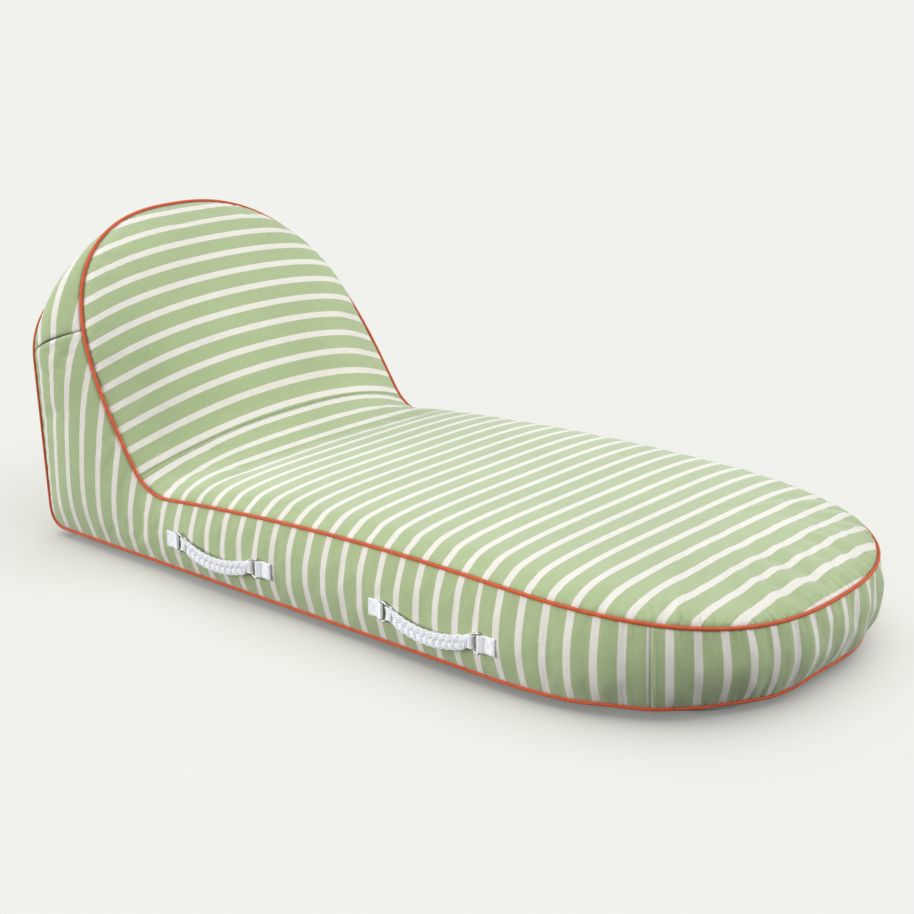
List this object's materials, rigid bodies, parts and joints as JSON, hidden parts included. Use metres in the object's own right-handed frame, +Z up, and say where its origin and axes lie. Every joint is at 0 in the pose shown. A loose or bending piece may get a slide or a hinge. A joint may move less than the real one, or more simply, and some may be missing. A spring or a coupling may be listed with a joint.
{
  "type": "inflatable pool lounger",
  "caption": "Inflatable pool lounger in a piped, striped fabric cover, with an arched headrest and braided carry handles on D rings.",
  "frame": {"origin": "middle of the flat underside, on the surface it rests on", "axes": "+X towards the foot, +Y to the left side, +Z up"},
  "size_m": [1.8757, 0.9462, 0.7209],
  "materials": {
    "striped_cloth": "woven, sage green with off-white stripes",
    "underside_cloth": "woven, plain off-white",
    "piping_cloth": "woven bias tape over cord",
    "white_webbing": "flat woven webbing",
    "white_braid": "open plait of soft cord",
    "ring_steel": "satin nickel plate",
    "chamber_vinyl": "smooth welded film",
    "valve_plastic": "moulded",
    "zip_tape": "knitted tape",
    "zip_coil": "moulded coil",
    "zip_metal": "plated die casting"
  },
  "bodies": {
    "float": {"back_panel": "striped_cloth", "base_air_chamber": "chamber_vinyl", "base_air_valve_base": "valve_plastic", "base_baffle_foot_end": "chamber_vinyl", "base_baffle_head_end": "chamber_vinyl", "base_baffle_middle": "chamber_vinyl", "bottom_panel": "underside_cloth", "bottom_piping": "piping_cloth", "foot_band": "striped_cloth", "handle_tab_left_front_foot_end": "white_webbing", "handle_tab_left_front_head_end": "white_webbing", "handle_tab_left_rear_foot_end": "white_webbing", "handle_tab_left_rear_head_end": "white_webbing", "handle_tab_right_front_foot_end": "white_webbing", "handle_tab_right_front_head_end": "white_webbing", "handle_tab_right_rear_foot_end": "white_webbing", "handle_tab_right_rear_head_end": "white_webbing", "head_air_chamber": "chamber_vinyl", "head_air_valve_base": "valve_plastic", "head_band": "striped_cloth", "head_face_panel": "striped_cloth", "seat_panel": "striped_cloth", "side_panel_left": "striped_cloth", "side_panel_right": "striped_cloth", "top_piping": "piping_cloth", "zip_chain": "zip_coil", "zip_stop_left": "zip_metal", "zip_stop_right": "zip_metal", "zip_tape_lower": "zip_tape", "zip_tape_upper": "zip_tape"},
    "grip_right_rear": {"braided_grip_right_rear": "white_braid"},
    "ring_right_rear_head_end": {"d_ring_right_rear_head_end": "ring_steel"},
    "ring_right_rear_foot_end": {"d_ring_right_rear_foot_end": "ring_steel"},
    "grip_right_front": {"braided_grip_right_front": "white_braid"},
    "ring_right_front_head_end": {"d_ring_right_front_head_end": "ring_steel"},
    "ring_right_front_foot_end": {"d_ring_right_front_foot_end": "ring_steel"},
    "grip_left_rear": {"braided_grip_left_rear": "white_braid"},
    "ring_left_rear_head_end": {"d_ring_left_rear_head_end": "ring_steel"},
    "ring_left_rear_foot_end": {"d_ring_left_rear_foot_end": "ring_steel"},
    "grip_left_front": {"braided_grip_left_front": "white_braid"},
    "ring_left_front_head_end": {"d_ring_left_front_head_end": "ring_steel"},
    "ring_left_front_foot_end": {"d_ring_left_front_foot_end": "ring_steel"},
    "zip_slider": {"zip_slider": "zip_metal"},
    "zip_pull": {"zip_pull": "zip_metal"},
    "base_air_valve_cap": {"base_air_valve_cap": "valve_plastic"},
    "base_air_valve_stem": {"base_air_valve_stem": "valve_plastic"},
    "head_air_valve_cap": {"head_air_valve_cap": "valve_plastic"},
    "head_air_valve_stem": {"head_air_valve_stem": "valve_plastic"}
  },
  "joints": [
    {"name": "right_rear_grip_lift", "type": "slide", "parent": "float", "child": "grip_right_rear", "axis": [0, -1, 0], "range_m": [0, 0.0114]},
    {"name": "right_rear_head_end_ring_turn", "type": "hinge", "parent": "float", "child": "ring_right_rear_head_end", "pos_m": [-0.412, -0.462, 0.098], "axis": [0, 0, -1], "range_deg": [0, 35]},
    {"name": "right_rear_foot_end_ring_turn", "type": "hinge", "parent": "float", "child": "ring_right_rear_foot_end", "pos_m": [-0.164, -0.462, 0.098], "axis": [0, 0, 1], "range_deg": [0, 35]},
    {"name": "right_front_grip_lift", "type": "slide", "parent": "float", "child": "grip_right_front", "axis": [0, -1, 0], "range_m": [0, 0.0114]},
    {"name": "right_front_head_end_ring_turn", "type": "hinge", "parent": "float", "child": "ring_right_front_head_end", "pos_m": [0.186, -0.462, 0.098], "axis": [0, 0, -1], "range_deg": [0, 35]},
    {"name": "right_front_foot_end_ring_turn", "type": "hinge", "parent": "float", "child": "ring_right_front_foot_end", "pos_m": [0.434, -0.462, 0.098], "axis": [0, 0, 1], "range_deg": [0, 35]},
    {"name": "left_rear_grip_lift", "type": "slide", "parent": "float", "child": "grip_left_rear", "axis": [0, 1, 0], "range_m": [0, 0.0114]},
    {"name": "left_rear_head_end_ring_turn", "type": "hinge", "parent": "float", "child": "ring_left_rear_head_end", "pos_m": [-0.412, 0.462, 0.098], "axis": [0, 0, 1], "range_deg": [0, 35]},
    {"name": "left_rear_foot_end_ring_turn", "type": "hinge", "parent": "float", "child": "ring_left_rear_foot_end", "pos_m": [-0.164, 0.462, 0.098], "axis": [0, 0, -1], "range_deg": [0, 35]},
    {"name": "left_front_grip_lift", "type": "slide", "parent": "float", "child": "grip_left_front", "axis": [0, 1, 0], "range_m": [0, 0.0114]},
    {"name": "left_front_head_end_ring_turn", "type": "hinge", "parent": "float", "child": "ring_left_front_head_end", "pos_m": [0.186, 0.462, 0.098], "axis": [0, 0, 1], "range_deg": [0, 35]},
    {"name": "left_front_foot_end_ring_turn", "type": "hinge", "parent": "float", "child": "ring_left_front_foot_end", "pos_m": [0.434, 0.462, 0.098], "axis": [0, 0, -1], "range_deg": [0, 35]},
    {"name": "zip_run", "type": "slide", "parent": "float", "child": "zip_slider", "axis": [0, 1, 0], "range_m": [0, 0.478]},
    {"name": "zip_pull_swing", "type": "hinge", "parent": "zip_slider", "child": "zip_pull", "pos_m": [-0.90929, -0.24, 0.1243], "axis": [-0.18, 0, 0.9837], "range_deg": [0, 150]},
    {"name": "base_air_valve_cap_turn", "type": "hinge", "parent": "float", "child": "base_air_valve_cap", "pos_m": [-0.864, 0.12, 0.09], "axis": [-1, 0, 0], "range_deg": [0, 360]},
    {"name": "base_air_valve_stem_turn", "type": "hinge", "parent": "float", "child": "base_air_valve_stem", "pos_m": [-0.864, 0.12, 0.09], "axis": [-1, 0, 0], "range_deg": [0, 360]},
    {"name": "head_air_valve_cap_turn", "type": "hinge", "parent": "float", "child": "head_air_valve_cap", "pos_m": [-0.88783, 0.12, 0.27156], "axis": [-1, 0, 0], "range_deg": [0, 360]},
    {"name": "head_air_valve_stem_turn", "type": "hinge", "parent": "float", "child": "head_air_valve_stem", "pos_m": [-0.88783, 0.12, 0.27156], "axis": [-1, 0, 0], "range_deg": [0, 360]}
  ],
  "couplings": [
    {"joint": "right_rear_head_end_ring_turn", "follows": "right_rear_grip_lift", "rad_per_m": 53.579},
    {"joint": "right_rear_foot_end_ring_turn", "follows": "right_rear_grip_lift", "rad_per_m": 53.579},
    {"joint": "right_front_head_end_ring_turn", "follows": "right_front_grip_lift", "rad_per_m": 53.579},
    {"joint": "right_front_foot_end_ring_turn", "follows": "right_front_grip_lift", "rad_per_m": 53.579},
    {"joint": "left_rear_head_end_ring_turn", "follows": "left_rear_grip_lift", "rad_per_m": 53.579},
    {"joint": "left_rear_foot_end_ring_turn", "follows": "left_rear_grip_lift", "rad_per_m": 53.579},
    {"joint": "left_front_head_end_ring_turn", "follows": "left_front_grip_lift", "rad_per_m": 53.579},
    {"joint": "left_front_foot_end_ring_turn", "follows": "left_front_grip_lift", "rad_per_m": 53.579}
  ]
}
